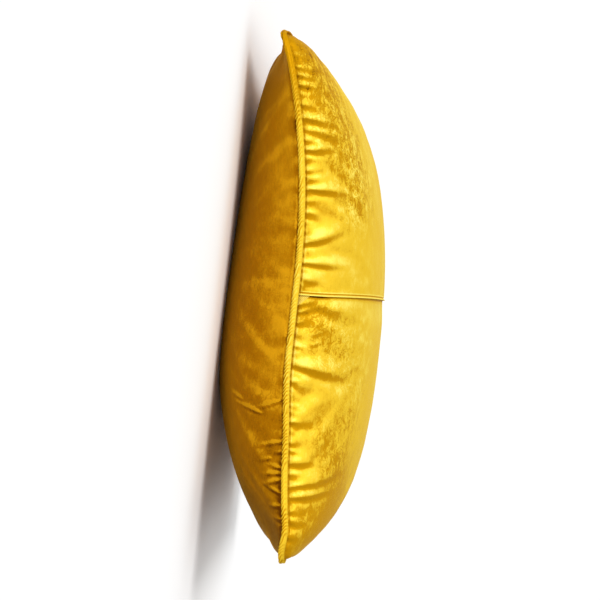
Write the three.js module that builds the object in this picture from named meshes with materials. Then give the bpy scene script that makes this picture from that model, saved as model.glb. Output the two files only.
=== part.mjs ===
// A square velvet throw cushion that lies on its plain front face, with the closure side up.
// Millimetres, +Z up. The origin is on the resting face, under the middle of the square.
// +X runs along the long sides, and the cushion is lower at -X and higher at +X.
//
// Every cloth surface is worked out from two coordinates, u along X and v along Y, which run
// from -1 at one seam to 1 at the opposite seam.

import * as THREE from "three";

// Seam line, seen from above.
const cornerReach = 220.5;
const sideDrawIn = 12;
const cornerPower = 17;
const cornerCut = 1 / 35;

// Height of the seam line above the floor.
const seamHeight = 64.5;
const lowCornerDrop = 28;
const lowCornerPower = 2.3;
const highCornerRise = 17;
const highCornerPower = 2.8;
const farSideShare = 0.4;

// The seam along the near side also sags at its low corner, swells past the middle and sags again
// at the ear of its high corner. All of it fades out quickly away from that side.
const nearSideFade = 4;
const nearLowSag = 6.5;
const nearSwell = 3;
const nearSwellStart = 0.25;
const nearSwellRun = 0.3;
const nearEarSag = 6;
const nearEarStart = 0.85;
const nearEarRun = 0.15;

// Crown of the back, above the seam line, and belly of the front, below it. The fullest point
// lies off the middle by the shift, and the ends are blunter where the power is larger.
const back = { height: 72.3, shift: 0.2, power: 2.28, powerSlope: -0.45 };
const front = { height: 72.5, shift: 0.13, power: 1.96, powerSlope: -0.59 };
const endFullness = 0.45;
const sidePower = 3.1;
const sideFullness = 0.52;

// The front's belly is pinched in near its corners, down to a share of itself at the corner. The
// seam's own low sag is made up for where the fullness passes sagReach.
const cornerPinch = 80;
const cornerShare = 0.35;
const sagReach = 0.2;

// Cloth, piping and the spaces between the pieces.
const cloth = 1.8;
const tape = 1;
const gap = 0.4;
const seamGap = 0.35;
const pipingGap = 0.5;
const pipingRadius = 2.5;
const pipingSides = 8;

// Closure across the back: the upper panel ends in a hem at X = hemX and overlaps the lower one.
const hemX = -3;
const hemBow = 4.3;
const hemBowPower = 6;
const hemLift = 1.3;
const hemGroove = 0.6;
const hemStitchInset = 3;
const lap = 16;
const lapRise = 12;
const tapeEdge = 0.5;
const tapeLength = 6.5;
const tapeRoom = 10;
const tapeRoomTaper = 4;
const dipTaper = 14;

// Grid lines in from each seam, closer where the cloth turns steeply, and the steps between.
const endSteps = [0, 2.5, 7, 12.5, 19];
const sideSteps = [0, 2.5, 6.5, 12, 19, 28, 39, 52];
const alongStep = 8;
const acrossStep = 24;
const pipingStep = 20;

// Folds drawn up by the seams. Along is where a fold starts on its seam and drift how far it
// leans by its end. From and to are distances out from the seam, over the cloth.
const seenBackFolds = [
  { along: -191, drift: 0, from: 0, to: 18, height: 1.8, width: 7 },
  { along: -161, drift: 0, from: 0, to: 26, height: 2.4, width: 7 },
  { along: -149, drift: -2, from: 0, to: 50, height: 4.2, width: 8 },
  { along: -136, drift: 1, from: 6, to: 64, height: 3.4, width: 8 },
  { along: -122, drift: -8, from: 0, to: 34, height: 4.1, width: 7 },
  { along: -105, drift: -6, from: 0, to: 22, height: 2.5, width: 6 },
  { along: -91, drift: -4, from: 0, to: 44, height: 4.2, width: 7 },
  { along: -70, drift: -3, from: 0, to: 20, height: 2, width: 7 },
  { along: -57, drift: 0, from: 0, to: 16, height: 1.7, width: 6 },
  { along: -45, drift: -17, from: 0, to: 42, height: 4.5, width: 7 },
  { along: -30, drift: -3, from: 0, to: 48, height: 3.3, width: 7 },
  { along: -17, drift: 1, from: 0, to: 26, height: 3, width: 6 },
  { along: 14, drift: -11, from: 0, to: 30, height: 3.3, width: 6 },
  { along: 12, drift: 2, from: 22, to: 74, height: 3, width: 10 },
  { along: 28, drift: 1, from: 0, to: 24, height: 1.8, width: 8 },
  { along: 53, drift: 7, from: 0, to: 66, height: 4.5, width: 8 },
  { along: 67, drift: 5, from: 0, to: 36, height: 2.7, width: 8 },
  { along: 93, drift: -2, from: 0, to: 22, height: 1.8, width: 7 },
  { along: 102, drift: -3, from: 0, to: 28, height: 2, width: 8 },
  { along: 137, drift: -6, from: 0, to: 36, height: 3.8, width: 8 },
  { along: 154, drift: -14, from: 0, to: 70, height: 4.5, width: 8 },
  { along: 166, drift: -5, from: 0, to: 52, height: 4.5, width: 7 },
  { along: 183, drift: -2, from: 0, to: 26, height: 3, width: 7 },
];
const seenFrontFolds = [
  { along: -168, drift: 3, from: 0, to: 22, height: 1.8, width: 8 },
  { along: -60, drift: 2, from: 0, to: 24, height: 1.5, width: 9 },
  { along: 30, drift: 3, from: 0, to: 26, height: 1.8, width: 9 },
  { along: 98, drift: 8, from: 6, to: 74, height: 3.9, width: 10 },
  { along: 124, drift: 2, from: 0, to: 26, height: 2.7, width: 7 },
  { along: 139, drift: 3, from: 0, to: 24, height: 3, width: 7 },
  { along: 152, drift: -2, from: 0, to: 26, height: 3, width: 7 },
  { along: 167, drift: -4, from: 0, to: 30, height: 2.4, width: 8 },
];
const plainFolds = [
  { along: -178, drift: 4, from: 0, to: 26, height: 2.7, width: 8 },
  { along: -139, drift: 6, from: 0, to: 44, height: 3.6, width: 11 },
  { along: -96, drift: -5, from: 0, to: 32, height: 2.5, width: 11 },
  { along: -47, drift: 3, from: 0, to: 40, height: 3.3, width: 12 },
  { along: 4, drift: -4, from: 0, to: 28, height: 2.2, width: 12 },
  { along: 49, drift: 6, from: 0, to: 46, height: 3.4, width: 12 },
  { along: 98, drift: -3, from: 0, to: 30, height: 2.7, width: 11 },
  { along: 143, drift: -7, from: 0, to: 48, height: 3.9, width: 11 },
  { along: 181, drift: -3, from: 0, to: 28, height: 2.7, width: 8 },
];

// The four seams, each as the coordinate that runs along it, the other one's value there, and
// whether its folds run the other way round.
const backSeams = [
  { alongU: true, edge: -1, turned: false, folds: seenBackFolds },
  { alongU: true, edge: 1, turned: true, folds: plainFolds },
  { alongU: false, edge: -1, turned: false, folds: plainFolds },
  { alongU: false, edge: 1, turned: true, folds: plainFolds },
];
const frontSeams = [
  { alongU: true, edge: -1, turned: false, folds: seenFrontFolds },
  { alongU: true, edge: 1, turned: false, folds: plainFolds },
  { alongU: false, edge: -1, turned: true, folds: plainFolds },
  { alongU: false, edge: 1, turned: false, folds: plainFolds },
];

// Position seen from above. The sides draw in between the corners, and the corners are rounded.
function planPoint(u, v) {
  const rounding = 1 - cornerCut * Math.abs(u * v) ** cornerPower;
  const x = u * (cornerReach - sideDrawIn * (1 - v * v) * u * u) * rounding;
  const y = v * (cornerReach - sideDrawIn * (1 - u * u) * v * v) * rounding;
  return { x, y };
}

// Height of the surface through the seam line: it droops to -X, rises to +X, less at the far side.
function seamZ(u, v) {
  const drop = lowCornerDrop * Math.max(-u, 0) ** lowCornerPower;
  const rise = highCornerRise * Math.max(u, 0) ** highCornerPower;
  const share = farSideShare + (1 - farSideShare) * (1 - v) / 2;
  const swell = nearSwell * smooth((u - nearSwellStart) / nearSwellRun);
  const earSag = nearEarSag * smooth((u - nearEarStart) / nearEarRun);
  const near = ((1 - v) / 2) ** nearSideFade;
  return seamHeight + (rise - drop) * share + (swell - earSag) * near - lowSag(u, v);
}

// How far the near side's low corner sags below the others.
function lowSag(u, v) {
  return nearLowSag * Math.max(-u, 0) ** lowCornerPower * ((1 - v) / 2) ** nearSideFade;
}

// 1 at the fullest point and 0 at the seams.
function fullness(u, v, side) {
  const shifted = u - side.shift * (1 - u * u);
  const end = Math.max(1 - Math.abs(shifted) ** (side.power + side.powerSlope * u), 0);
  const across = Math.max(1 - Math.abs(v) ** sidePower, 0);
  return end ** endFullness * across ** sideFullness;
}

// Only the seam itself has the sag at the low corner. The filling bears the cloth up beside it.
function backPoint(u, v) {
  const { x, y } = planPoint(u, v);
  const full = fullness(u, v, back);
  const z = seamZ(u, v) + back.height * full + lowSag(u, v) * smooth(full / sagReach);
  return new THREE.Vector3(x, y, z);
}

// The filling hardly reaches into the corners of the front.
function frontPoint(u, v) {
  const { x, y } = planPoint(u, v);
  const fromCorner = Math.hypot(1 - Math.abs(u), 1 - Math.abs(v)) * cornerReach;
  const pinch = cornerShare + (1 - cornerShare) * smooth(fromCorner / cornerPinch);
  const full = fullness(u, v, front) * pinch;
  const z = seamZ(u, v) - front.height * full + lowSag(u, v) * smooth(full / sagReach);
  return new THREE.Vector3(x, y, z);
}

// Unit vector out of a surface, from points a small step of u or v to each side.
function outward(point, u, v, turn) {
  const step = 0.008;
  const u0 = Math.max(u - step, -1);
  const u1 = Math.min(u + step, 1);
  const v0 = Math.max(v - step, -1);
  const v1 = Math.min(v + step, 1);
  const alongU = point(u1, v).sub(point(u0, v));
  const alongV = point(u, v1).sub(point(u, v0));
  return alongU.cross(alongV).normalize().multiplyScalar(turn);
}

function smooth(value) {
  const t = THREE.MathUtils.clamp(value, 0, 1);
  return t * t * (3 - 2 * t);
}

// Height of all folds at a point. Each is full a third of the way along, then dies away. The swell
// t (1 - t)^2 is 4 / 27 there, so it is divided by that.
function foldHeight(point, u, v, seams) {
  const here = point(u, v);
  let height = 0;
  for (const seam of seams) {
    const onSeam = seam.alongU ? point(u, seam.edge) : point(seam.edge, v);
    const out = here.distanceTo(onSeam);
    const along = (seam.alongU ? here.x : here.y) * (seam.turned ? -1 : 1);
    for (const fold of seam.folds) {
      const t = (out - fold.from) / (fold.to - fold.from);
      if (t > 0 && t < 1) {
        const swell = t * (1 - t) ** 2 * 27 / 4;
        const aside = (along - fold.along - fold.drift * t) / fold.width;
        height += fold.height * swell * Math.exp(-aside * aside);
      }
    }
  }
  return height;
}

// A layer of the back, at a depth under the cloth's outer face. On the seam line the depth is
// taken level, towards the middle, so that every layer ends flat against the seam.
function backLayer(u, v, depth, seamRise) {
  if (Math.abs(u) === 1 || Math.abs(v) === 1) {
    const stay = 1 - depth / cornerReach;
    const uInset = THREE.MathUtils.clamp(u, -stay, stay);
    const vInset = THREE.MathUtils.clamp(v, -stay, stay);
    const { x, y } = planPoint(uInset, vInset);
    return new THREE.Vector3(x, y, seamZ(u, v) + seamRise);
  }
  const lift = foldHeight(backPoint, u, v, backSeams) - depth;
  return backPoint(u, v).addScaledVector(outward(backPoint, u, v, 1), lift);
}

// The front face, flat where it touches the floor.
function frontLayer(u, v) {
  if (Math.abs(u) === 1 || Math.abs(v) === 1) {
    const { x, y } = planPoint(u, v);
    return new THREE.Vector3(x, y, seamZ(u, v) - seamGap);
  }
  const lift = foldHeight(frontPoint, u, v, frontSeams);
  const place = frontPoint(u, v).addScaledVector(outward(frontPoint, u, v, -1), lift);
  place.z = Math.max(place.z, 0);
  return place;
}

// The closure lines run straight from seam to seam when cut, and bow towards -X on the cushion,
// mostly beside the seams.
function bowed(u, v) {
  return u - hemBow * (1 - v ** hemBowPower) * (1 - u * u) / cornerReach;
}

// How far the lower panel dips under the hem. Near the seen seam it stays down for longer, which
// leaves the end of the tape in view.
function dip(u, v) {
  const fromSeam = (1 + v) * cornerReach;
  const held = tapeRoom * Math.max(1 - fromSeam / tapeRoomTaper, 0);
  const past = u * cornerReach - hemX - held;
  const depth = cloth + gap + (tape + gap) * smooth(1 - (fromSeam - tapeLength) / dipTaper);
  return depth * (1 - smooth(past / lapRise));
}

// The hem edge stands up a little beyond its row of stitches.
function hemRelief(u) {
  const fromEdge = hemX - u * cornerReach;
  const raised = hemLift * Math.max(1 - fromEdge / hemStitchInset, 0);
  const sunk = hemGroove * Math.max(1 - Math.abs(fromEdge - hemStitchInset) / hemStitchInset, 0);
  return raised - sunk;
}

// Equal steps from one place to another, without the last.
function stepsBetween(from, to, step) {
  const count = Math.max(Math.round((to - from) / step), 1);
  return Array.from({ length: count }, (_, i) => from + (to - from) * i / count);
}

// Coordinates of grid lines from seam to seam: the insets at both ends and equal steps between
// them, with a line on each of the given stops.
function gridLines(insets, stops, step) {
  const low = insets.map((inset) => inset - cornerReach);
  const high = low.map((line) => -line).reverse();
  const places = [low.at(-1), ...stops, high[0]];
  const between = places.slice(1).flatMap((to, i) => stepsBetween(places[i], to, step));
  return [...low.slice(0, -1), ...between, ...high].map((line) => line / cornerReach);
}

// A grid of points over the coordinates, row by row along v.
function surfaceGrid(uLines, vLines, place) {
  return { uLines, vLines, points: uLines.flatMap((u) => vLines.map((v) => place(u, v))) };
}

// The grid's triangles, facing up unless turned over. Each cell is split on the diagonal that
// points to the nearest corner, so that layers over each other are split alike.
function gridTriangles({ uLines, vLines }, start, turnedOver) {
  const columns = vLines.length;
  const triangles = [];
  for (let i = 0; i + 1 < uLines.length; i++) {
    for (let j = 0; j + 1 < columns; j++) {
      const a = start + i * columns + j;
      const [b, c, d] = [a + columns, a + columns + 1, a + 1];
      const outwards = (uLines[i] + uLines[i + 1]) * (vLines[j] + vLines[j + 1]) > 0;
      triangles.push(...(outwards ? [[a, b, c], [a, c, d]] : [[a, b, d], [b, c, d]]));
    }
  }
  return turnedOver ? triangles.map(([a, b, c]) => [a, c, b]) : triangles;
}

// Indices of the grid's border points, once round, anticlockwise from above.
function borderLoop({ uLines, vLines }) {
  const columns = vLines.length;
  const lastRow = (uLines.length - 1) * columns;
  const nearSide = uLines.slice(1).map((_, i) => i * columns);
  const highEnd = vLines.slice(1).map((_, j) => lastRow + j);
  const farSide = uLines.slice(1).map((_, i) => lastRow - i * columns + columns - 1);
  const lowEnd = vLines.slice(1).map((_, j) => columns - 1 - j);
  return [...nearSide, ...highEnd, ...farSide, ...lowEnd];
}

function geometryOf(points, triangles) {
  const geometry = new THREE.BufferGeometry().setFromPoints(points);
  geometry.setIndex(triangles.flat());
  geometry.computeVertexNormals();
  return geometry;
}

// A closed solid between an upper and a lower surface on the same grid lines.
function solidBetween(upper, lower) {
  const start = upper.points.length;
  const loop = borderLoop(upper);
  const wall = loop.flatMap((here, i) => {
    const next = loop[(i + 1) % loop.length];
    return [[here, here + start, next + start], [here, next + start, next]];
  });
  const triangles = [...gridTriangles(upper, 0, false), ...gridTriangles(lower, start, true), ...wall];
  return geometryOf([...upper.points, ...lower.points], triangles);
}

function namedMesh(name, geometry, colour, roughness) {
  const material = new THREE.MeshStandardMaterial({ color: colour, roughness, metalness: 0 });
  const mesh = new THREE.Mesh(geometry, material);
  mesh.name = name;
  return mesh;
}

const lapX = hemX - lap;
const hemStitches = hemX - hemStitchInset;
const closureLines = [lapX, hemStitches, hemX, hemX + lapRise / 2, hemX + lapRise];
const uLines = gridLines(endSteps, closureLines, alongStep);
const vLines = gridLines(sideSteps, [], acrossStep);

// Filled body: the front panel with the filling behind it, up to the inside of the back panels.
function filledBody() {
  const top = surfaceGrid(uLines, vLines, (u, v) => {
    const sunk = u * cornerReach > lapX - gap ? dip(u, v) : 0;
    return backLayer(bowed(u, v), v, cloth + gap + sunk, -seamGap);
  });
  return solidBetween(top, surfaceGrid(uLines, vLines, frontLayer));
}

// Upper back panel, from the -X seam to the hem.
function upperBackPanel() {
  const lines = uLines.filter((u) => u * cornerReach < hemX + gap);
  const outer = (u, v) => backLayer(bowed(u, v), v, -hemRelief(u), seamGap);
  const inner = (u, v) => backLayer(bowed(u, v), v, cloth - Math.max(hemRelief(u), 0), seamGap);
  return solidBetween(surfaceGrid(lines, vLines, outer), surfaceGrid(lines, vLines, inner));
}

// Lower back panel, from under the lap to the +X seam.
function lowerBackPanel() {
  const lines = uLines.filter((u) => u * cornerReach > lapX - gap);
  const outer = (u, v) => backLayer(bowed(u, v), v, dip(u, v), seamGap);
  const inner = (u, v) => backLayer(bowed(u, v), v, dip(u, v) + cloth, seamGap);
  return solidBetween(surfaceGrid(lines, vLines, outer), surfaceGrid(lines, vLines, inner));
}

// End of the tape that faces the hem. It shows as a small triangle at the seen seam, where its
// last line stands out past the hem.
function closureTape() {
  const place = (u, v, depth) => {
    const inside = v > -1 && u * cornerReach > hemX + tapeEdge;
    const held = inside ? (hemX + tapeEdge) / cornerReach : u;
    return backLayer(bowed(held, v), v, depth, seamGap);
  };
  const tapeU = [hemStitches, hemX, hemX + lapRise / 2].map((x) => x / cornerReach);
  const tapeV = vLines.filter((v) => (1 + v) * cornerReach < tapeLength + gap);
  const outer = surfaceGrid(tapeU, tapeV, (u, v) => place(u, v, cloth + gap));
  const inner = surfaceGrid(tapeU, tapeV, (u, v) => place(u, v, cloth + gap + tape));
  return solidBetween(outer, inner);
}

// Piping: a covered cord that runs around the whole seam, just outside it.
function pipingCord() {
  const lines = gridLines(endSteps, [], pipingStep);
  const seam = surfaceGrid(lines, lines, (u, v) => {
    const { x, y } = planPoint(u, v);
    return new THREE.Vector3(x, y, seamZ(u, v));
  });
  const rim = borderLoop(seam).map((index) => seam.points[index]);
  const rings = rim.map((point, i) => {
    const along = rim[(i + 1) % rim.length].clone().sub(rim.at(i - 1)).normalize();
    const out = new THREE.Vector3(along.y, -along.x, 0).normalize();
    const up = out.clone().cross(along);
    const centre = point.clone().addScaledVector(out, pipingRadius + pipingGap);
    return Array.from({ length: pipingSides }, (_, k) => {
      const angle = 2 * Math.PI * k / pipingSides;
      const sideways = centre.clone().addScaledVector(out, pipingRadius * Math.cos(angle));
      return sideways.addScaledVector(up, pipingRadius * Math.sin(angle));
    });
  });
  const triangles = rings.flatMap((ring, i) => ring.flatMap((_, k) => {
    const here = i * pipingSides;
    const next = (i + 1) % rings.length * pipingSides;
    const kNext = (k + 1) % pipingSides;
    return [[here + k, next + k, next + kNext], [here + k, next + kNext, here + kNext]];
  }));
  return geometryOf(rings.flat(), triangles);
}

const cushion = new THREE.Group();
cushion.add(
  namedMesh("filled_body", filledBody(), 0xb97f08, 0.55),
  namedMesh("back_panel_upper", upperBackPanel(), 0xe3b021, 0.5),
  namedMesh("back_panel_lower", lowerBackPanel(), 0xe0ab1e, 0.5),
  namedMesh("piping", pipingCord(), 0xd9a325, 0.5),
  namedMesh("closure_tape", closureTape(), 0xe2c272, 0.8),
);

export default cushion;
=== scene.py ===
import bpy
import numpy as np
from mathutils import Matrix, Vector


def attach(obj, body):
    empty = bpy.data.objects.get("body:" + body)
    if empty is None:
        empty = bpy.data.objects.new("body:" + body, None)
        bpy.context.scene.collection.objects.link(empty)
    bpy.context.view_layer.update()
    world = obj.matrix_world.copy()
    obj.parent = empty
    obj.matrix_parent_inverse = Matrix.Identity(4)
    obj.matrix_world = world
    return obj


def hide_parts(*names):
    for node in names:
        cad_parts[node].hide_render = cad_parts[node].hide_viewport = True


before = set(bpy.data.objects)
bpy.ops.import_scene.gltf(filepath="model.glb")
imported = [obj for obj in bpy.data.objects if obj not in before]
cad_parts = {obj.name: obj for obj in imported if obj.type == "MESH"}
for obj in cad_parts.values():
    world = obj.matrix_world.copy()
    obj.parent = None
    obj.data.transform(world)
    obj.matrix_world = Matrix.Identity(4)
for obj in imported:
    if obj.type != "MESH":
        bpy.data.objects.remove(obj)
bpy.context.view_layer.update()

# Piping: a thin cord in a strip of the same velvet, cut on the bias and sewn in between the front
# and the back all the way round. The strip wrinkles slantwise over the cord, and its flat edge
# stands up beside the back before it goes into the seam.

mm = 0.001
corner_reach = 220.5 * mm
side_draw_in = 12 * mm
corner_power = 17
corner_cut = 1 / 35
seam_height = 64.5 * mm
low_corner_drop = 28 * mm
low_corner_power = 2.3
high_corner_rise = 17 * mm
high_corner_power = 2.8
far_side_share = 0.4
near_side_fade = 4
near_low_sag = 6.5 * mm
near_swell = 3 * mm
near_swell_start = 0.25
near_swell_run = 0.3
near_ear_sag = 6 * mm
near_ear_start = 0.85
near_ear_run = 0.15

cord_radius = 1.8 * mm
cord_gap = 0.5 * mm
cord_sink = 1 * mm
cord_step = 0.75 * mm
cord_sides = 28
wrinkle_pitch = 3.7 * mm
wrinkle_slant = 0.7
wrinkle_height = 0.45 * mm
wrinkle_sharpness = 0.8
drift_width = 5
drift_share = 0.55
strength_width = 9
mean_strength = 0.9
strength_spread = 0.4
least_strength = 0.5
most_strength = 1.6
flange_height = 2.1 * mm
flange_angle = 1.4
flange_width = 0.3
flange_flattening = 0.8
plain_share = 0.6
plain_width = 0.8
web_height = 1.3 * mm
web_angle = 2.74
web_width = 0.4
cord_hollow_shade = 1.9
cord_base_tone = 0.4
low_end_start = 120 * mm
low_end_run = 80 * mm
low_end_tone = 1.1
high_end_start = 60 * mm
high_end_run = 60 * mm
high_end_tone = 0.3


def plan_point(u, v):
    """Place seen from above. u and v run from -1 to 1 between opposite seams: each is scaled to
    corner_reach, less a draw-in of 1 - v^2 times u^2, and |u v|^17 rounds the corners."""
    rounding = 1 - corner_cut * np.abs(u * v) ** corner_power
    x = u * (corner_reach - side_draw_in * (1 - v * v) * u * u) * rounding
    y = v * (corner_reach - side_draw_in * (1 - u * u) * v * v) * rounding
    return x, y


def smooth(value):
    t = np.clip(value, 0, 1)
    return t * t * (3 - 2 * t)


def low_sag(u, v):
    """Sag of the near seam at its low corner."""
    near = ((1 - v) / 2) ** near_side_fade
    return near_low_sag * np.maximum(-u, 0) ** low_corner_power * near


def seam_z(u, v):
    """Height of the surface through the seam: powers of u that droop to -X and rise to +X. The
    near side also sags at both its corners and swells between, fading as ((1 - v) / 2)^4."""
    low = np.maximum(-u, 0) ** low_corner_power
    rise = high_corner_rise * np.maximum(u, 0) ** high_corner_power
    share = far_side_share + (1 - far_side_share) * (1 - v) / 2
    swell = near_swell * smooth((u - near_swell_start) / near_swell_run)
    ear_sag = near_ear_sag * smooth((u - near_ear_start) / near_ear_run)
    near = ((1 - v) / 2) ** near_side_fade
    height = seam_height + (rise - low_corner_drop * low) * share
    return height + (swell - ear_sag) * near - low_sag(u, v)


def unit(vectors):
    length = np.linalg.norm(vectors, axis=-1, keepdims=True)
    return vectors / np.maximum(length, 1e-12)


def seam_path(step):
    """Points about a step apart around the seam, anticlockwise from above, with the way along it,
    the way out and the way up at each."""
    side = np.linspace(-1, 1, 4001)[:-1]
    one = np.ones_like(side)
    u = np.concatenate([side, one, -side, -one])
    v = np.concatenate([-one, side, one, -side])
    dense = np.stack([*plan_point(u, v), seam_z(u, v)], -1)
    dense = np.concatenate([dense, dense[:1]])
    length = np.concatenate([[0], np.cumsum(np.linalg.norm(np.diff(dense, axis=0), axis=1))])
    count = round(length[-1] / step)
    at = np.arange(count) * length[-1] / count
    points = np.stack([np.interp(at, length, dense[:, k]) for k in range(3)], -1)
    along = unit(np.roll(points, -2, 0) - np.roll(points, 2, 0))
    out = unit(np.stack([along[:, 1], -along[:, 0], np.zeros(count)], -1))
    return at, points, along, out, np.cross(out, along)


def smooth_noise(rng, count, width):
    """A closed row of random numbers, each averaged with its neighbours over the width, with a
    spread of 1."""
    i = np.arange(count)
    away = np.minimum(i, count - i)
    kernel = np.fft.rfft(np.exp(-((away / width) ** 2) / 2))
    row = np.fft.irfft(np.fft.rfft(rng.normal(size=count)) * kernel, count)
    return (row - row.mean()) / row.std()


def make_mesh(name, points, quads, material, uv=None, **attributes):
    """A smooth-shaded object of the points and faces, with a value per point for each attribute
    and a place per point for its UV map."""
    mesh = bpy.data.meshes.new(name)
    mesh.from_pydata(points.reshape(-1, 3).tolist(), [], quads.tolist())
    mesh.polygons.foreach_set("use_smooth", np.ones(len(quads), bool))
    for label, values in attributes.items():
        mesh.attributes.new(label, "FLOAT", "POINT").data.foreach_set("value", values.ravel())
    if uv is not None:
        corners = uv.reshape(-1, 2)[quads.ravel()]
        mesh.uv_layers.new(name="cloth").data.foreach_set("uv", corners.ravel())
    mesh.materials.append(material)
    made = bpy.data.objects.new(name, mesh)
    bpy.context.scene.collection.objects.link(made)
    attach(made, "root")
    return made


class Wire:
    """An output socket of a material's nodes. Arithmetic on wires and numbers adds Math nodes."""

    def __init__(self, tree, socket=None):
        self.tree = tree
        self.socket = socket

    def node(self, kind, settings=None, inputs=None, output=0):
        """Adds a node of a kind, with its settings and then its sockets' values or wires."""
        made = self.tree.nodes.new("ShaderNode" + kind)
        for name, value in (settings or {}).items():
            if name == "stops":
                elements = made.color_ramp.elements
                for element, (place, colour) in zip([elements[0], elements[1]], value[:2]):
                    element.position = place
                    element.color = (*colour, 1)
                for place, colour in value[2:]:
                    elements.new(place).color = (*colour, 1)
            else:
                setattr(made, name, value)
        for name, value in (inputs or {}).items():
            if isinstance(value, Wire):
                self.tree.links.new(value.socket, made.inputs[name])
            else:
                made.inputs[name].default_value = value
        return Wire(self.tree, made.outputs[output] if made.outputs else None)

    def maths(self, operation, *values):
        return self.node("Math", {"operation": operation}, dict(enumerate(values)))

    def __add__(self, other):
        return self.maths("ADD", self, other)

    def __sub__(self, other):
        return self.maths("SUBTRACT", self, other)

    def __mul__(self, other):
        return self.maths("MULTIPLY", self, other)

    def __rsub__(self, other):
        return self.maths("SUBTRACT", other, self)

    __radd__ = __add__
    __rmul__ = __mul__

    def step(self, low, high):
        """0 below low, 1 above high and smooth between."""
        settings = {"interpolation_type": "SMOOTHSTEP", "clamp": True}
        return self.node("MapRange", settings, {"Value": self, "From Min": low, "From Max": high})

    def mix(self, first, second):
        """A colour between the first, where this is 0, and the second, where it is 1."""
        settings = {"data_type": "RGBA", "clamp_factor": True}
        inputs = {"Factor": self, 6: first, 7: second}
        return self.node("Mix", settings, inputs, 2)


def noise(start, place, size, stretch=(1, 1, 1), detail=3, roughness=0.55, warp=0.0):
    """Noise whose lumps are about the size, in metres, and longer by the stretch on each axis."""
    scale = [1 / (size * s) for s in stretch]
    mapped = start.node("Mapping", inputs={"Vector": place, "Scale": scale})
    inputs = {"Vector": mapped, "Scale": 1.0, "Detail": detail, "Roughness": roughness}
    return start.node("TexNoise", inputs=inputs | {"Distortion": warp})


vein_sharpness = 16

# Tones of the one velvet: lemon and flame are painted highlight, gold and amber the flat tones,
# honey and umber painted shade. The front's flame, amber and umber are darker as painted shade of
# the face towards the floor, and in part as its pile lies the other way.
umber = (0.14, 0.04, 0.001, 1)
amber = (0.4, 0.156, 0.001, 1)
honey = (0.5, 0.24, 0.002, 1)
gold = (0.74, 0.48, 0.025, 1)
flame = (0.66, 0.32, 0.006, 1)
lemon = (0.86, 0.705, 0.115, 1)


def velvet(name, ridge, flat, hollow, satin, spoiled):
    """Short shiny pile. Its colour follows the painted shading value: the ridge tone is painted
    highlight on folds and lit slopes, the flat tone lies between, the hollow tone is painted shade
    in creases, and umber is the deepest painted shade, where the value passes 1.5. Worn and spoiled
    parts have crushed marks, where the pile leans another way, and all of it has soft patches, fine
    streaks and a pile-sized bump."""
    material = bpy.data.materials.new(name)
    material.use_nodes = True
    tree = material.node_tree
    tree.nodes.clear()
    start = Wire(tree)
    place = start.node("TexCoord", output="Object")
    patches = noise(start, place, 60 * mm, (1.5, 1, 1), 2)
    marks = noise(start, place, 8 * mm, (1.5, 0.9, 0.9), 5, 0.68)
    veins = noise(start, place, 6 * mm, (1.3, 1, 1), 3, 0.6, 1.4)
    streaks = noise(start, place, 1.2 * mm, (5, 1, 1), 3)
    pile = noise(start, place, 0.6 * mm, (1.6, 1, 1), 2)
    crease = start.node("Attribute", {"attribute_name": "crease"}, output="Fac")
    worn = start.node("Attribute", {"attribute_name": "worn"}, output="Fac")
    patch = patches.step(0.42, 0.62)
    mark = marks.step(0.35, 0.65)
    side = (veins - 0.5) * vein_sharpness
    vein = (1 - side * side).step(0, 1)
    crushed = worn * spoiled + patch * 0.1
    # Painted light and shade: the painted shading attribute, darker in creases and on slopes turned
    # from the light, is added to the pile's own patches, crushed marks and streaks.
    dark = crease + (0.5 - patch) * 0.2 + (0.6 - mark) * crushed + vein * crushed * 0.7
    dark = dark + (streaks - 0.5) * 0.4 + (pile - 0.5) * 0.3
    colour = dark.step(-0.8, 0.05).mix(ridge, flat)
    colour = dark.step(0.05, 0.9).mix(colour, hollow)
    colour = dark.step(1.5, 2.5).mix(colour, umber)
    height = pile * 0.25 + streaks * 0.3 + (marks - vein * 0.4) * crushed
    bump = {"Height": height, "Strength": 0.5, "Distance": 1.5 * mm}
    normal = start.node("Bump", inputs=bump)
    surface = start.node("BsdfPrincipled", inputs={
        "Base Color": colour,
        "Roughness": 0.42 + 0.14 * marks,
        "Metallic": satin,
        "Specular IOR Level": 0.02,
        "Specular Tint": (1, 0.75, 0.12, 1),
        "Sheen Weight": 0.15,
        "Sheen Roughness": 0.4,
        "Sheen Tint": (1, 0.7, 0.05, 1),
        "Normal": normal,
    })
    start.node("OutputMaterial", inputs={"Surface": surface})
    return material


def end_shade(x):
    """Painted shade: the pile is coloured darker towards the low corner, and a little darker
    towards the high one."""
    low = low_end_tone * smooth((-x - low_end_start) / low_end_run)
    return low + high_end_tone * smooth((x - high_end_start) / high_end_run)


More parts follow.
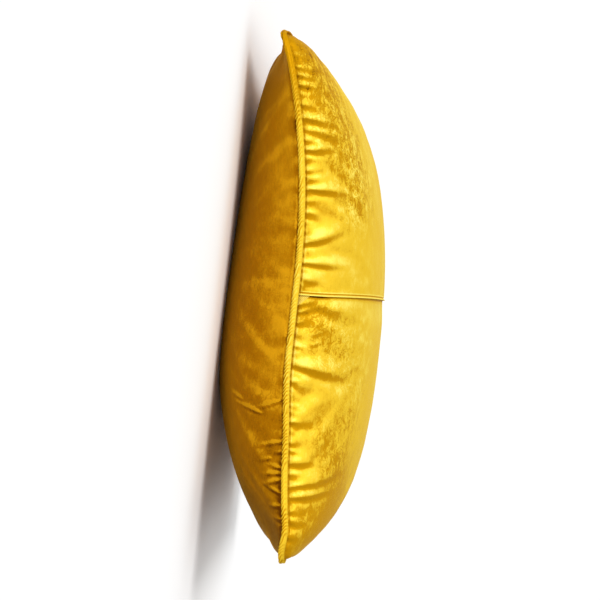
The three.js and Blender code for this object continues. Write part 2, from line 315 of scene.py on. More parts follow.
def piping_cord():
    """A tube along the seam. Its radius is the cord's, less the wrinkles that run slantwise round
    it, plus two Gaussians of the angle round the cord: the flange, which is the strip's flat edge
    beside the back, and the web, which joins the cord to the seam."""
    at, points, along, out, up = seam_path(cord_step)
    angle = np.linspace(0, 2 * np.pi, cord_sides, endpoint=False)
    rng = np.random.default_rng(11)
    count = len(at)
    drift = smooth_noise(rng, count, drift_width)[:, None] * drift_share
    strength = mean_strength + strength_spread * smooth_noise(rng, count, strength_width)
    strength = np.clip(strength, least_strength, most_strength)[:, None]
    phase = at[:, None] / wrinkle_pitch + drift + wrinkle_slant * np.sin(angle)[None]
    wrinkle = 1 - np.abs(np.sin(np.pi * phase)) ** wrinkle_sharpness
    turn = (angle[None] - flange_angle + np.pi) % (2 * np.pi) - np.pi
    flange = np.exp(-((turn / flange_width) ** 2))
    web = np.exp(-(((angle[None] - web_angle) / web_width) ** 2))
    calm = (1 - flange_flattening * flange) * (1 - web)
    radius = cord_radius - wrinkle_height * wrinkle * strength * calm
    radius = radius + flange_height * flange + web_height * web
    centre = points + out * (cord_radius + cord_gap) - up * cord_sink
    ring = np.cos(angle)[None, :, None] * out[:, None] + np.sin(angle)[None, :, None] * up[:, None]
    surface = centre[:, None] + ring * radius[..., None]
    i = np.arange(count)[:, None] * cord_sides
    j = np.arange(cord_sides)[None]
    i_next, j_next = np.roll(i, -1, 0), np.roll(j, -1, 1)
    quads = np.stack([i + j, i_next + j, i_next + j_next, i + j_next], -1).reshape(-1, 4)
    # Painted shade in the wrinkles' hollows, less beside the flange; the rest of the cord off the
    # flange is painted a little lighter, and its ends get painted shade.
    plain = plain_share * np.exp(-((turn / plain_width) ** 2))
    hollow = cord_hollow_shade * wrinkle * strength * (1 - plain)
    crease = (hollow - cord_base_tone) * (1 - flange)
    crease += end_shade(points[:, 0])[:, None]
    return surface, quads, crease


surface, quads, crease = piping_cord()
piping_velvet = velvet("piping_velvet", lemon, gold, honey, 0.3, 0.2)
cord = make_mesh("piping_cord", surface, quads, piping_velvet, crease=crease)
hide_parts("piping")

# Front: one square of velvet, drawn tight over the filling, which pushes it into a smooth belly.
# The seam gathers it a little, and it lies flat where the cushion rests.

front_belly = {"height": 72.5 * mm, "shift": 0.13, "power": 1.96, "slope": -0.59}
back_crown = {"height": 72.3 * mm, "shift": 0.2, "power": 2.28, "slope": -0.45}
end_fullness = 0.45
side_power = 3.1
side_fullness = 0.52
corner_pinch = 80 * mm
corner_share = 0.35
sag_reach = 0.2


def fullness(u, v, side):
    """1 at the fullest point and 0 at the seams: rounded steps along u and along v, multiplied."""
    shifted = np.abs(u - side["shift"] * (1 - u * u))
    end = np.maximum(1 - shifted ** (side["power"] + side["slope"] * u), 0)
    across = np.maximum(1 - np.abs(v) ** side_power, 0)
    return end ** end_fullness * across ** side_fullness


def front_point(u, v):
    """The belly. The filling hardly reaches into its corners."""
    from_corner = np.hypot(1 - np.abs(u), 1 - np.abs(v)) * corner_reach
    pinch = corner_share + (1 - corner_share) * smooth(from_corner / corner_pinch)
    full = fullness(u, v, front_belly) * pinch
    height = seam_z(u, v) - front_belly["height"] * full
    return np.stack([*plan_point(u, v), height + low_sag(u, v) * smooth(full / sag_reach)], -1)


def back_point(u, v):
    """The crown. Only the seam itself sags at the low corner, as the filling bears the cloth."""
    full = fullness(u, v, back_crown)
    height = seam_z(u, v) + back_crown["height"] * full
    return np.stack([*plan_point(u, v), height + low_sag(u, v) * smooth(full / sag_reach)], -1)


def outward(point, u, v, turn):
    """Unit vector out of a surface, from points a small step of u or v to each side."""
    step = 0.004
    along_u = point(np.minimum(u + step, 1), v) - point(np.maximum(u - step, -1), v)
    along_v = point(u, np.minimum(v + step, 1)) - point(u, np.maximum(v - step, -1))
    return unit(np.cross(along_u, along_v)) * turn


def over_cloth(point, along_u):
    """A table of u, or v, against the length over the cloth along the surface's middle line."""
    share = np.linspace(-1, 1, 6001)
    share = np.sign(share) * (1 - (1 - np.abs(share)) ** 3)
    line = point(share, 0 * share) if along_u else point(0 * share, share)
    length = np.concatenate([[0], np.cumsum(np.linalg.norm(np.diff(line, axis=0), axis=1))])
    return share, length


def grid_faces(rows, columns, turned=False):
    """Quads of a grid of points, anticlockwise from above unless turned over."""
    index = np.arange(rows * columns).reshape(rows, columns)
    quads = np.stack([index[:-1, :-1], index[1:, :-1], index[1:, 1:], index[:-1, 1:]], -1)
    quads = quads.reshape(-1, 4)
    return quads[:, ::-1] if turned else quads


def closed_quads(rows, columns):
    """Quads of an upper grid, a lower grid and the wall between them, facing out."""
    index = np.arange(rows * columns).reshape(rows, columns)
    loop = np.concatenate([index[:-1, 0], index[-1, :-1], index[:0:-1, -1], index[0, :0:-1]])
    ahead = np.roll(loop, -1)
    below = rows * columns
    wall = np.stack([loop, loop + below, ahead + below, ahead], -1)
    lower = grid_faces(rows, columns, True) + below
    return np.concatenate([grid_faces(rows, columns), lower, wall])


# Folds drawn up by the seams: where each starts along its seam and how far it leans by its end,
# where it begins and ends over the cloth, its height and its half width, all in millimetres.
seen_front_folds = [
    (-150, 0, 0, 18, 1.6, 12), (-110, 2, 0, 22, 0.6, 8), (-60, 2, 0, 28, 0.8, 9),
    (30, 3, 0, 30, 0.8, 9), (90, -6, 44, 66, 0.6, 1.8), (86, 11, 4, 34, 1.3, 1.7),
    (99, -7, 21, 56, 1.5, 1.8), (119, 8, 1, 32, 1.2, 1.5), (127, 3, 0, 14, 1.0, 1.5),
    (134, 4, 12, 26, 0.8, 1.6), (142, -3, 0, 19, 1.2, 1.5), (145, 4, 0, 26, 1.3, 1.5),
    (150, 8, 0, 26, 1.3, 1.6), (163, -9, 0, 28, 1.2, 1.8), (172, 2, 0, 22, 1.2, 1.8),
    (184, -2, 0, 18, 1.0, 2),
]
plain_folds = [
    (-178, 4, 0, 26, 2.4, 7), (-139, 6, 0, 44, 3.2, 9), (-96, -5, 0, 32, 2.2, 8),
    (-47, 3, 0, 40, 2.8, 9), (4, -4, 0, 28, 2.0, 9), (49, 6, 0, 46, 3.0, 9),
    (98, -3, 0, 30, 2.4, 8), (143, -7, 0, 48, 3.4, 9), (181, -3, 0, 28, 2.4, 7),
]


def small_folds(seed, count, height):
    """Short random folds along one seam, in the columns of the tables above."""
    rng = np.random.default_rng(seed)
    along = np.linspace(-205, 205, count) + rng.uniform(-4, 4, count)
    drift = rng.normal(0, 2, count)
    reach = rng.uniform(9, 19, count)
    tall = height * rng.uniform(0.4, 1.3, count)
    wide = rng.uniform(1.6, 3.2, count)
    return list(np.stack([along, drift, 0 * along, reach, tall, wide], -1))


fold_onset = 7
fold_decay = 1.5
fold_gain = 1.3
fold_root = 0.5
fold_opening = 0.4
gentle_flank = 1.5
steep_flank = 0.75
foot_depth = 0.3
foot_place = 1.3
foot_width = 0.55


def fold_height(point, u, v, seams):
    """Height of all folds. Each springs from its seam, fans out and dies away along the cloth as
    (1 - (1 - t)^7) (1 - t)^1.5. To its sides it falls off as a Gaussian, gently before its line
    and steeply past it, with a narrow hollow at that foot. Places along a seam count towards +X
    or +Y, or the other way where the seam is turned."""
    here = point(u, v)
    height = np.zeros(here.shape[:-1])
    for along_u, edge, turned, folds in seams:
        on_seam = point(u, 0 * v + edge) if along_u else point(0 * u + edge, v)
        out = np.linalg.norm(here - on_seam, axis=-1)
        along = here[..., 0 if along_u else 1] * (-1 if turned else 1)
        for start, drift, first, last, tall, wide in np.array(folds) * mm:
            t = np.clip((out - first) / (last - first), 0, 1)
            swell = (1 - (1 - t) ** fold_onset) * (1 - t) ** fold_decay * fold_gain
            spread = wide * (fold_root + (1 - fold_root) * smooth(t / fold_opening))
            aside = (along - start - drift * t) / spread
            flank = np.where(aside < 0, gentle_flank, steep_flank)
            ridge = np.exp(-((aside / flank) ** 2))
            ridge -= foot_depth * np.exp(-(((aside - foot_place) / foot_width) ** 2))
            height += tall * swell * ridge
    return height


def blurred(field, reach):
    """The field smoothed by a Gaussian of that many grid steps along each axis."""
    for axis in (0, 1):
        i = np.arange(field.shape[axis])
        weight = np.exp(-(((i[:, None] - i[None]) / reach) ** 2) / 2)
        weight /= weight.sum(1, keepdims=True)
        field = np.moveaxis(np.tensordot(weight, field, (1, axis)), 0, axis)
    return field


def line_weights(places, count):
    """Each place's share, from 0 to 1, in a row of count grid lines, as cubic B-spline weights."""
    away = np.abs(places[:, None] * (count - 1) - np.arange(count)[None])
    near = 2 / 3 - away**2 + away**3 / 2
    far = (2 - away) ** 3 / 6
    weight = np.where(away < 1, near, np.where(away < 2, far, 0))
    return weight / weight.sum(1, keepdims=True)


sim_lines = 144
sim_frames = 18
sim_cap = 4 * mm
rough_reach = 1.2
rough_height = 0.25 * mm
gather_reach = 55 * mm
grow_levels = 10
wrinkle_reach = 20 * mm


def crumpled(point, normal_turn, seams, gather, seed):
    """Wrinkles that the cloth settles into when its seams gather it: a Cloth simulation of the
    whole face, pinned at the seam and pushed out by pressure, with more cloth near the seam than
    the seam is long. Gives their heights on a grid that is even over the cloth."""
    lines = []
    for along_u in (True, False):
        share, length = over_cloth(point, along_u)
        lines.append(np.interp(np.linspace(0, length[-1], sim_lines), length, share))
    u, v = np.meshgrid(*lines, indexing="ij")
    side = length[-1]
    step = side / (sim_lines - 1)
    base = point(u, v)
    normal = outward(point, u, v, normal_turn)
    rng = np.random.default_rng(seed)
    rough = blurred(rng.normal(size=u.shape), rough_reach)
    lift = fold_height(point, u, v, seams) + rough / rough.std() * rough_height
    rim = (np.abs(u) == 1) | (np.abs(v) == 1)
    lift[rim] = 0
    points = base + normal * lift[..., None]
    mesh = bpy.data.meshes.new("cloth_sim")
    quads = grid_faces(sim_lines, sim_lines, normal_turn < 0)
    mesh.from_pydata(points.reshape(-1, 3).tolist(), [], quads.tolist())
    sheet = bpy.data.objects.new("cloth_sim", mesh)
    bpy.context.scene.collection.objects.link(sheet)
    sheet.vertex_groups.new(name="pin").add(np.flatnonzero(rim).tolist(), 1.0, "REPLACE")
    i = np.arange(sim_lines)
    edge = np.minimum(i, sim_lines - 1 - i) * step
    near = np.clip(1 - np.minimum(edge[:, None], edge[None]) / gather_reach, 0, 1).ravel()
    grow = sheet.vertex_groups.new(name="grow")
    for level in range(1, grow_levels + 1):
        chosen = np.flatnonzero(np.round(near * grow_levels) == level)
        grow.add(chosen.tolist(), level / grow_levels, "REPLACE")
    cloth = sheet.modifiers.new("cloth", "CLOTH")
    settings = cloth.settings
    settings.quality = 6
    settings.mass = 0.3
    settings.vertex_group_mass = "pin"
    settings.vertex_group_shrink = "grow"
    settings.shrink_min = -0.01
    settings.shrink_max = -gather
    settings.use_pressure = True
    settings.uniform_pressure_force = 4
    settings.effector_weights.gravity = 0
    for frame_number in range(1, sim_frames + 1):
        bpy.context.scene.frame_set(frame_number)
    settled = sheet.evaluated_get(bpy.context.evaluated_depsgraph_get()).data
    moved = np.empty(points.size, np.float32)
    settled.vertices.foreach_get("co", moved)
    rise = ((moved.reshape(points.shape) - points) * normal).sum(-1)
    bpy.data.objects.remove(sheet)
    bpy.data.meshes.remove(mesh)
    bpy.context.scene.frame_set(1)
    fine = rise - blurred(rise, wrinkle_reach / step)
    return np.clip(fine, -sim_cap, sim_cap)


def cloth_lines(length, step, stops=()):
    """Places of grid lines over the cloth: closer at both seams, and a line on each stop."""
    near = np.array([0, 0.8, 1.6, 2.4, 3, 3.4, 3.8, 4.2, 4.7, 5.3, 6, 7, 8.4, 10]) * mm
    corners = [near[-1], *stops, length - near[-1]]
    between = [np.linspace(a, b, max(round((b - a) / step), 1) + 1)[:-1]
               for a, b in zip(corners, corners[1:])]
    return np.concatenate([near[:-1], *between, length - near[::-1]])


seam_still = 5 * mm
wrinkle_fade = 60 * mm
inner_wrinkles = 0.3
diagonal_wrinkles = 0.05
diagonal_width = 0.35


def wrinkle_share(u, v, out):
    """How much of the simulated wrinkles stays: none on the seam, less past wrinkle_fade and
    almost none on the diagonals, where two gathered sides meet and the filling holds the cloth
    tight."""
    near_seam = smooth(out / seam_still)
    inside = inner_wrinkles + (1 - inner_wrinkles) * np.exp(-((out / wrinkle_fade) ** 2))
    off_diagonal = smooth(np.abs(np.abs(u) - np.abs(v)) / diagonal_width)
    diagonal = diagonal_wrinkles + (1 - diagonal_wrinkles) * off_diagonal
    return near_seam * inside * diagonal


def reach_from_seams(point, u, v):
    """Distance from the nearest of the four seams."""
    here = point(u, v)
    seams = [point(u, 0 * v - 1), point(u, 0 * v + 1), point(0 * u - 1, v), point(0 * u + 1, v)]
    return np.minimum.reduce([np.linalg.norm(here - seam, axis=-1) for seam in seams])


crease_gain = 1.3
bend_weight = 2.6 * mm
fall_weight = 2.1


def relief_shading(lift, s, t):
    """Painted shading of the relief as if lit from -X: below 0, painted highlight, on ridges and on
    slopes that rise towards +X, and above 0, painted shade, in hollows and on slopes that fall that
    way. A tanh holds it within crease_gain."""
    fall = np.gradient(lift, s, axis=0)
    bend = np.gradient(fall, s, axis=0)
    bend += np.gradient(np.gradient(lift, t, axis=1), t, axis=1)
    return crease_gain * np.tanh(bend * bend_weight - fall * fall_weight)


front_seams = [
    (True, -1, False, seen_front_folds + small_folds(31, 22, 0.25)),
    (True, 1, False, plain_folds + small_folds(32, 34, 0.6)),
    (False, -1, True, plain_folds + small_folds(33, 34, 0.6)),
    (False, 1, False, plain_folds + small_folds(34, 34, 0.6)),
]
cloth_thickness = 1.1 * mm
gap = 0.3 * mm
seam_light_reach = 45 * mm
least_worn = 0.14

# The first table paints light, and darkens where its strength is below 0; the second holds crushed
# spots, where handling has pressed the pile: along the near seam, over the cloth from it, the
# radius, all in millimetres, and the strength.
front_light_spots = [
    (-165, 6, 18, 0.3), (-5, 4, 18, 0.4), (24, 4, 16, 0.4), (60, 10, 20, 0.2),
    (-120, 20, 30, 0.25), (-80, 20, 30, 0.25), (-40, 15, 25, 0.2), (128, 20, 26, -0.1),
    (134, 14, 9, -0.25),
]
front_crushed = [(95, 24, 26, 0.5), (138, 16, 26, 0.4), (-60, 40, 40, 0.25), (20, 50, 40, 0.25)]


def spotted(point, u, v, spots):
    """The sum of round Gaussian spots."""
    here = point(u, v)
    reach = np.linalg.norm(here - point(u, 0 * v - 1), axis=-1)
    total = 0 * u
    for along, out, radius, strength in spots:
        away = np.hypot(here[..., 0] - along * mm, reach - out * mm) / (radius * mm)
        total += strength * np.exp(-(away ** 2))
    return total


def face_grid(point, s, t):
    """u and v on the lines s and t over the cloth, and s and t as shares of its size."""
    share_u, length_u = over_cloth(point, True)
    share_v, length_v = over_cloth(point, False)
    u_lines = np.interp(s, length_u, share_u)
    v_lines = np.interp(t, length_v, share_v)
    u, v = np.meshgrid(u_lines, v_lines, indexing="ij")
    return u, v, s / length_u[-1], t / length_v[-1]


thin_ridge_places = np.arange(82, 190, 1.2) * mm
front_step_s = 2 * mm
front_step_t = 3.2 * mm
front_gather = 0.05
front_wrinkles = 0.6
inner_edge = 0.985
seam_light = 0.25
seam_shade = 1.6
seam_shade_reach = 4.5 * mm
high_part = 0.55
high_part_run = 0.4
high_part_shade = 0.8
low_part = 0.75
low_part_run = 0.2
low_part_shade = 0.6
front_hollow_tone = 0.5
front_ridge_tone = 1.8
ridge_wear = 1.1


def front_velvet():
    """The belly with its folds and wrinkles along the normal, cut flat at the floor, and over it
    the inside of the back. Its grid is finer where the thin ridges of the near seam are."""
    share, length = over_cloth(front_point, True)
    thin_ridges = np.interp(thin_ridge_places / corner_reach, share, length)
    s = cloth_lines(length[-1], front_step_s, thin_ridges)
    t = cloth_lines(over_cloth(front_point, False)[1][-1], front_step_t)
    u, v, s_share, t_share = face_grid(front_point, s, t)
    lift = fold_height(front_point, u, v, front_seams)
    out = reach_from_seams(front_point, u, v)
    wrinkles = crumpled(front_point, -1, front_seams, front_gather, seed=5)
    fine = line_weights(s_share, sim_lines) @ wrinkles @ line_weights(t_share, sim_lines).T
    lift += front_wrinkles * fine * wrinkle_share(u, v, out)
    rim = (np.abs(u) == 1) | (np.abs(v) == 1)
    lift[rim] = 0
    lower = front_point(u, v) + outward(front_point, u, v, -1) * lift[..., None]
    lower[..., 2] = np.maximum(lower[..., 2], 0)
    upper = back_point(u, v) - outward(back_point, u, v, 1) * (2 * cloth_thickness + 3 * gap)
    inner_u = np.clip(u, -inner_edge, inner_edge)
    inner_v = np.clip(v, -inner_edge, inner_edge)
    upper[rim] = np.stack([*plan_point(inner_u, inner_v), seam_z(u, v)], -1)[rim]
    points = np.concatenate([upper.reshape(-1, 3), lower.reshape(-1, 3)])
    # Painted light near the seam and at the light spots; painted shadow in the seam's recess beside
    # the cord, painted shade towards both ends, and the relief's painted shading.
    painted_light = seam_light * np.exp(-((out / seam_light_reach) ** 2))
    painted_light += spotted(front_point, u, v, front_light_spots)
    shade = seam_shade * np.exp(-((out / seam_shade_reach) ** 2))
    shade += high_part_shade * smooth((u - high_part) / high_part_run)
    shade += low_part_shade * smooth((-u - low_part) / low_part_run)
    bends = relief_shading(lift, s, t)
    tone = np.where(bends > 0, front_hollow_tone, front_ridge_tone) * bends - painted_light + shade
    worn = least_worn + ridge_wear * np.clip(-bends, 0, 1)
    worn += spotted(front_point, u, v, front_crushed)
    marks = {"crease": np.stack([0 * u, tone]), "worn": np.stack([0 * u, worn])}
    return points, closed_quads(*u.shape), marks


points, quads, marks = front_velvet()
# The front's darker tones: painted shade of the face that lies towards the floor, and in part its
# pile lying the other way.
front_shaded_finish = velvet("front_velvet", flame, amber, umber, 0.5, 0.5)
front = make_mesh("front_velvet", points, quads, front_shaded_finish, **marks)
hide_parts("filled_body")

# Back, upper panel: velvet from one seam to the closure, where its edge is turned under and
# stitched into a narrow lip. It overlaps the lower panel.

hem_x = -3 * mm
cut_length = 0.45
hem_bow = 4.3 * mm
hem_bow_power = 6
lap = 16 * mm
lap_rise = 25 * mm
lip_height = 0.9 * mm
lip_width = 0.8 * mm
lip_crest = 0.6
lip_fall = 1.2
lip_inside = 0.9
lip_tone = 1.2
groove_place = 1.9 * mm
groove_width = 0.5 * mm
groove_depth = 0.6 * mm
back_gather = 0.11
back_step_s = 1.3 * mm
back_step_t = 3 * mm
line_slack = 1e-6
crown_reach = 90 * mm
crown_painted_light = 0.25
ditch_shadow_tone = 1.1
ditch_shade = 0.4
ditch_shade_place = 5 * mm
ditch_shade_width = 3.5 * mm
deepest_tone = 1.2
seam_puff = 0.6 * mm
ditch_reach = 3.2 * mm
ditch_width = 0.35 * mm
ditch_depth = 0.25 * mm
puff_run = 4 * mm

# Folds at the near seam, in the columns of the front's folds.
seen_back_folds = [
    (-199, 0, 0, 22, 1.3, 3.5), (-190, 0, 0, 26, 1.6, 3), (-183, -1, 2, 26, 1.3, 2.6),
    (-175, -2, 0, 24, 1.5, 3), (-160, 0, 0, 24, 1.8, 4), (-149, -2, 0, 54, 2.6, 5),
    (-140, 0, 4, 74, 1.7, 6), (-130, -4, 0, 20, 1.0, 4), (-122, -9, 0, 38, 2.4, 4),
    (-114, -5, 0, 20, 0.9, 4), (-105, -7, 0, 22, 1.4, 3.5), (-96, -9, 0, 26, 1.3, 3.5),
    (-91, -4, 0, 50, 2.6, 4), (-79, -2, 0, 14, 0.7, 4), (-70, -2, 0, 18, 1.2, 4),
    (-56, -1, 0, 15, 1.1, 4), (-45, -20, 0, 46, 2.7, 5), (-37, -2, 0, 16, 1.0, 3.5),
    (-30, -4, 0, 56, 1.7, 4), (-18, 1, 0, 26, 2.0, 4.5), (-10, 1, 0, 14, 0.8, 3.5),
    (6, -9, 0, 26, 1.8, 3), (13, -12, 0, 30, 2.4, 3.2), (20, -3, 0, 18, 1.2, 3.5),
    (4, 3, 20, 84, 1.8, 9), (30, -8, 17, 33, 0.9, 2), (38, -6, 17, 31, 0.8, 2),
    (28, 1, 0, 22, 0.9, 6), (41, -1, 0, 20, 0.8, 6), (54, 8, 0, 76, 2.7, 6),
    (68, 6, 0, 34, 1.7, 6), (83, -1, 0, 16, 0.8, 4), (94, -1, 0, 20, 1.1, 4),
    (103, -4, 0, 28, 1.4, 5), (119, -2, 0, 18, 0.8, 4), (137, -7, 0, 36, 2.3, 4.5),
    (146, -4, 0, 40, 1.0, 5), (156, -19, 0, 80, 2.6, 5), (165, -11, 0, 62, 2.6, 4.5),
    (176, -5, 0, 26, 1.3, 4), (185, -3, 0, 26, 1.8, 4), (197, -2, 0, 18, 1.0, 4),
]
back_seams = [
    (True, -1, False, seen_back_folds + small_folds(41, 66, 0.8)),
    (True, 1, True, plain_folds + small_folds(42, 46, 0.9)),
    (False, -1, False, plain_folds + small_folds(43, 46, 0.9)),
    (False, 1, True, plain_folds + small_folds(44, 46, 0.9)),
]

# Crushed spots, where hands and folding have pressed the pile, and shaded spots, painted shade on
# parts that turn away from the light and beside the hem, in the columns of the front's spots.
crushed_spots = [
    (-205, 18, 26, 0.6), (-178, 34, 30, 0.8), (-140, 50, 34, 0.9), (-112, 66, 26, 0.65),
    (-82, 54, 20, 0.7), (-90, 90, 24, 0.35), (12, 22, 16, 0.6), (36, 44, 26, 0.5),
    (137, 50, 18, 0.9), (110, 34, 14, 0.5), (96, 66, 20, 0.4), (182, 22, 22, 0.5),
    (60, 80, 24, 0.3),
]
shaded_spots = [
    (-210, 14, 34, 0.8), (-176, 26, 26, 0.2), (-80, 20, 15, 0.2), (14, 18, 14, 0.7),
    (30, 30, 16, 0.4), (200, 26, 38, 0.5), (200, 110, 70, 0.5), (150, 120, 70, 0.25),
    (165, 50, 40, 0.3), (95, 60, 60, 0.12), (9, 9, 5, 0.4),
]


def seam_relief(out):
    """The cloth puffs up beyond the ditch that the seam pulls into it."""
    ditch = ditch_depth * np.exp(-(((out - ditch_reach) / ditch_width) ** 2))
    return seam_puff * smooth((out - ditch_reach) / puff_run) - ditch


def bowed_point(u, v):
    """The back, with its grid lines bowed towards -X as the closure is, mostly beside the seams."""
    bow = hem_bow * (1 - np.abs(v) ** hem_bow_power) * (1 - u * u)
    return back_point(u - bow / corner_reach, v)


back_wrinkles = None
back_wrinkles = crumpled(bowed_point, 1, back_seams, back_gather, seed=7)


def back_lift(u, v, s_share, t_share):
    """Height of the back's cloth over the bare crown: folds and wrinkles, and the seam's ditch. The
    shares of the size over the cloth are one per grid line, or one per point."""
    out = reach_from_seams(bowed_point, u, v)
    lift = fold_height(bowed_point, u, v, back_seams)
    if back_wrinkles is not None:
        rows = line_weights(s_share.ravel(), sim_lines) @ back_wrinkles
        columns = line_weights(t_share.ravel(), sim_lines)
        on_grid = s_share.ndim == 1
        fine = rows @ columns.T if on_grid else (rows * columns).sum(1).reshape(u.shape)
        lift += fine * wrinkle_share(u, v, out)
    return lift, seam_relief(out)


def panel(s, t, relief):
    """A closed sheet between the lines s and t of the back. Its outer face is lifted by the folds
    and the relief, and its inner face lies a cloth's thickness below."""
    u, v, s_share, t_share = face_grid(bowed_point, s, t)
    lift, seam = back_lift(u, v, s_share, t_share)
    outer, inner, shade = relief(u, v)
    rim = (np.abs(u) == 1) | (np.abs(v) == 1)
    total = np.where(rim, 0, lift + seam)
    normal = outward(bowed_point, u, v, 1)
    base = bowed_point(u, v)
    upper = base + normal * (total + np.where(rim, 0, outer))[..., None]
    lower = base + normal * (total + np.where(rim, 0, inner) - cloth_thickness)[..., None]
    inset = 1 - cloth_thickness / corner_reach
    inset_point = plan_point(np.clip(u, -inset, inset), np.clip(v, -inset, inset))
    lower[rim] = np.stack([*inset_point, seam_z(u, v)], -1)[rim]
    points = np.concatenate([upper.reshape(-1, 3), lower.reshape(-1, 3)])
    out = reach_from_seams(bowed_point, u, v)
    # Painted light towards the crown, a painted shadow line in the seam's ditch, painted shade
    # beside it and at the shaded spots, and the relief's painted shading, capped before the hem's
    # tones are added.
    crown_light = crown_painted_light * smooth(out / crown_reach)
    ditch_shadow = ditch_shadow_tone * np.exp(-(((out - ditch_reach) / (2 * ditch_width)) ** 2))
    beside = (out - ditch_shade_place) / ditch_shade_width
    crease = relief_shading(lift + outer, s, t) - crown_light + ditch_shadow
    crease += ditch_shade * np.exp(-(beside ** 2)) + spotted(bowed_point, u, v, shaded_spots)
    crease = np.minimum(crease, deepest_tone) + shade
    worn = least_worn + spotted(bowed_point, u, v, crushed_spots)
    marks = {"crease": np.stack([crease, crease]), "worn": np.stack([worn, worn])}
    place = np.stack(np.meshgrid(s, t, indexing="ij"), -1).reshape(-1, 2)
    return points, closed_quads(*u.shape), np.tile(place, (2, 1)), marks


share_u, length_u = over_cloth(bowed_point, True)
back_length = length_u[-1]
back_width = over_cloth(bowed_point, False)[1][-1]


def closure_place(x):
    """Where over the cloth the closure line at that X lies."""
    return np.interp(x / corner_reach, share_u, length_u)


def hem_relief(u, v):
    """The lip stands up at the edge, and a groove lies behind it where the stitches pull in."""
    from_edge = hem_x - u * corner_reach
    lip = lip_height * smooth(1 - (from_edge / lip_width - lip_crest) / lip_fall)
    groove = groove_depth * np.exp(-(((from_edge - groove_place) / groove_width) ** 2))
    return lip - groove, np.maximum(lip, 0) * lip_inside, -lip_tone * lip / lip_height


behind_hem = (6, 5, 4.4, 3.8, 3.3, 2.9, 2.5, 2.1, 1.7, 1.3, 1, 0.7, 0.4, 0.2, 0)
hem_stops = [closure_place(hem_x - x * mm) for x in behind_hem]
s_lines = cloth_lines(back_length, back_step_s, hem_stops)
t_lines = cloth_lines(back_width, back_step_t)
upper_s = s_lines[s_lines <= closure_place(hem_x) + line_slack]
points, quads, uv, marks = panel(upper_s, t_lines, hem_relief)
back_finish = velvet("back_velvet", lemon, gold, honey, 0.3, 1)
upper = make_mesh("back_upper", points, quads, back_finish, uv=uv, **marks)
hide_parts("back_panel_upper")
upper_flat = (closure_place(hem_x), cut_length)

# Back, lower panel: the same velvet, from under the lap to the other seam. The upper panel's hem
# lies over its edge, and its other three sides are sewn into the seam.

tape_thickness = 0.8 * mm
tape_room = 10 * mm
tape_reach = 30 * mm
tape_taper = 6 * mm
gape_shade = 1.5
gape_place = 6 * mm
gape_width = 7 * mm
gape_start = 2 * mm
gape_end = 1.5
hem_shade = 1.4
hem_shade_width = 2.2 * mm


def tuck(u, v):
    """It dips under the hem by a cloth's thickness, and under the tape by that as well, and comes
    up again past it. Beside the seam it stays down for longer, so the closure gapes a little
    there, and what shows just below the hem and in the gape is painted with shade."""
    from_seam = (v + 1) * corner_reach
    past = u * corner_reach - hem_x - tape_reach * np.maximum(1 - from_seam / tape_taper, 0)
    room = (tape_thickness + gap) * (1 - smooth((from_seam - tape_room) / tape_room))
    depth = (cloth_thickness + gap + room) * (1 - smooth(past / lap_rise))
    below = u * corner_reach - hem_x
    gape = gape_shade * np.exp(-(((from_seam - gape_place) / gape_width) ** 2))
    gape *= smooth(gape_end - below / gape_start)
    return -depth, -depth, hem_shade * np.exp(-((below / hem_shade_width) ** 2)) + gape


lower_stops = [closure_place(hem_x - lap), closure_place(hem_x), closure_place(hem_x + 1 * mm)]
lower_s = cloth_lines(back_length, back_step_s, lower_stops)
lower_s = lower_s[lower_s >= closure_place(hem_x - lap) - line_slack]
points, quads, uv, marks = panel(lower_s, t_lines, tuck)
lower = make_mesh("back_lower", points, quads, back_finish, uv=uv, **marks)
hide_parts("back_panel_lower")
lower_flat = (back_length - closure_place(hem_x - lap), cut_length)

# Closure tape: a scrap of twill tape, sewn into the seam under the hem's near end. Only a small
# corner of it shows.

tape_start = 0.8 * mm
tape_end = 12 * mm
tape_under = 3 * mm
tape_corner = 10 * mm
tape_blunt = 0.5 * mm
tape_lines = 13


def closure_tape():
    """A closed sheet on the lower panel, cut off slantwise past the hem."""
    share = np.linspace(0, 1, tape_lines)
    across, away = np.meshgrid(share, share, indexing="ij")
    slant = tape_corner * (1 - away) + tape_blunt
    x = hem_x - tape_under + (tape_under + slant) * across
    t = tape_start + (tape_end - tape_start) * away
    u = x / corner_reach
    share_v, length_v = over_cloth(bowed_point, False)
    v = np.interp(t, length_v, share_v)
    lift, seam = back_lift(u, v, closure_place(x) / back_length, t / back_width)
    dip = tuck(u, v)[0]
    level = lift + seam + dip + gap / 2
    normal = outward(bowed_point, u, v, 1)
    base = bowed_point(u, v)
    upper = base + normal * (level + tape_thickness)[..., None]
    lower = base + normal * level[..., None]
    points = np.concatenate([upper.reshape(-1, 3), lower.reshape(-1, 3)])
    place = np.stack([x, tape_end * away], -1).reshape(-1, 2)
    return points, closed_quads(*u.shape), np.tile(place, (2, 1))


def twill(name, thread, between, rib):
    """Slanting ribs of thread, with the tone between them in their grooves."""
    material = bpy.data.materials.new(name)
    material.use_nodes = True
    tree = material.node_tree
    tree.nodes.clear()
    start = Wire(tree)
    place = start.node("UVMap")
    u = start.node("SeparateXYZ", inputs={"Vector": place}, output="X")
    v = start.node("SeparateXYZ", inputs={"Vector": place}, output="Y")
    wave = start.maths("SINE", (u + v) * (2 * np.pi / rib))
    colour = (wave * 0.5 + 0.5).mix(between, thread)
    normal = start.node("Bump", inputs={"Height": wave, "Strength": 0.6, "Distance": 0.3 * mm})
    surface = start.node("BsdfPrincipled", inputs={
        "Base Color": colour,
        "Roughness": 0.75,
        "Specular IOR Level": 0.1,
        "Normal": normal,
    })
    start.node("OutputMaterial", inputs={"Surface": surface})
    return material


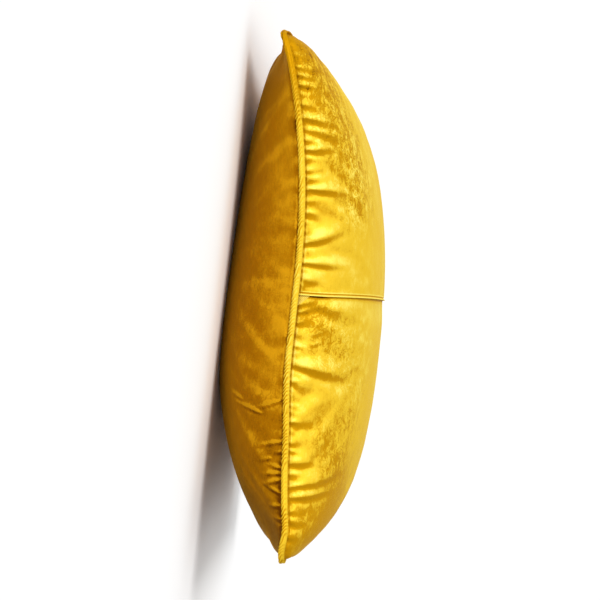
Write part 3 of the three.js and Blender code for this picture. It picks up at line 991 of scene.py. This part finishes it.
points, quads, uv = closure_tape()
tape_finish = twill("tape_cloth", (0.93, 0.7, 0.12, 1), (0.68, 0.44, 0.05, 1), 1.6 * mm)
tape = make_mesh("tape_scrap", points, quads, tape_finish, uv=uv)
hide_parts("closure_tape")
tape_length = tape_end - tape_start
tape_flat = (tape_under + tape_corner + tape_blunt, tape_length)
tape_area = (tape_under + tape_corner / 2 + tape_blunt) * tape_length

# Camera: level with the cushion's side and turned on end, so that the cushion stands in the
# picture.

camera_place = Vector((1.2, -1716, 147.6)) * mm
camera_pitch = np.radians(3)
camera_roll = np.radians(-6.6)
sensor = 36
lens = 109.11
view_depth = 20

ahead = Vector((0, np.cos(camera_pitch), -np.sin(camera_pitch)))
above = Vector((0, np.sin(camera_pitch), np.cos(camera_pitch)))
side_way = Vector((1, 0, 0))
picture_right = above * np.cos(camera_roll) + side_way * np.sin(camera_roll)
picture_up = above * np.sin(camera_roll) - side_way * np.cos(camera_roll)
camera = bpy.data.objects.new("camera", bpy.data.cameras.new("camera"))
camera.data.lens = lens
camera.data.sensor_width = sensor
camera.data.clip_end = view_depth
turned = Matrix((picture_right, picture_up, -ahead)).transposed()
camera.matrix_world = Matrix.Translation(camera_place) @ turned.to_4x4()
bpy.context.scene.collection.objects.link(camera)
bpy.context.scene.camera = camera

# Studio: a wide pale floor, a pale surround, dimmer above and towards +X, and a soft lamp.

floor_mesh = bpy.data.meshes.new("floor")
floor_half = 30
floor_signs = ((-1, -1), (1, -1), (1, 1), (-1, 1))
floor_corners = [(x * floor_half, y * floor_half, 0) for x, y in floor_signs]
floor_mesh.from_pydata(floor_corners, [], [(0, 1, 2, 3)])
floor = bpy.data.objects.new("floor", floor_mesh)
bpy.context.scene.collection.objects.link(floor)
paper = bpy.data.materials.new("paper")
paper.use_nodes = True
paper_surface = paper.node_tree.nodes["Principled BSDF"]
paper_surface.inputs["Base Color"].default_value = (0.93, 0.93, 0.93, 1)
paper_surface.inputs["Roughness"].default_value = 0.9
floor_mesh.materials.append(paper)

world = bpy.data.worlds.new("surround")
world.use_nodes = True
world.node_tree.nodes.clear()
sky = Wire(world.node_tree)
direction = sky.node("TexCoord", output="Generated")
upward = sky.node("SeparateXYZ", inputs={"Vector": direction}, output="Z")
sideways = sky.node("SeparateXYZ", inputs={"Vector": direction}, output="X")
strength = 1.05 - 0.2 * upward.step(0.1, 0.5) - 0.6 * sideways.step(0.25, 0.8)
shade = sky.node("Background", inputs={"Color": (1, 1, 1, 1), "Strength": strength})
sky.node("OutputWorld", inputs={"Surface": shade})
bpy.context.scene.world = world


def lamp(name, from_place, soft_angle, strength):
    """A far lamp that shines from a place towards the origin."""
    made = bpy.data.objects.new(name, bpy.data.lights.new(name, "SUN"))
    made.data.angle = np.radians(soft_angle)
    made.data.energy = strength
    made.rotation_euler = (-Vector(from_place)).to_track_quat("-Z", "Y").to_euler()
    bpy.context.scene.collection.objects.link(made)


lamp("key", (-0.45, -0.7, 0.6), 22, 2.0)
bpy.context.scene.view_settings.view_transform = "Standard"
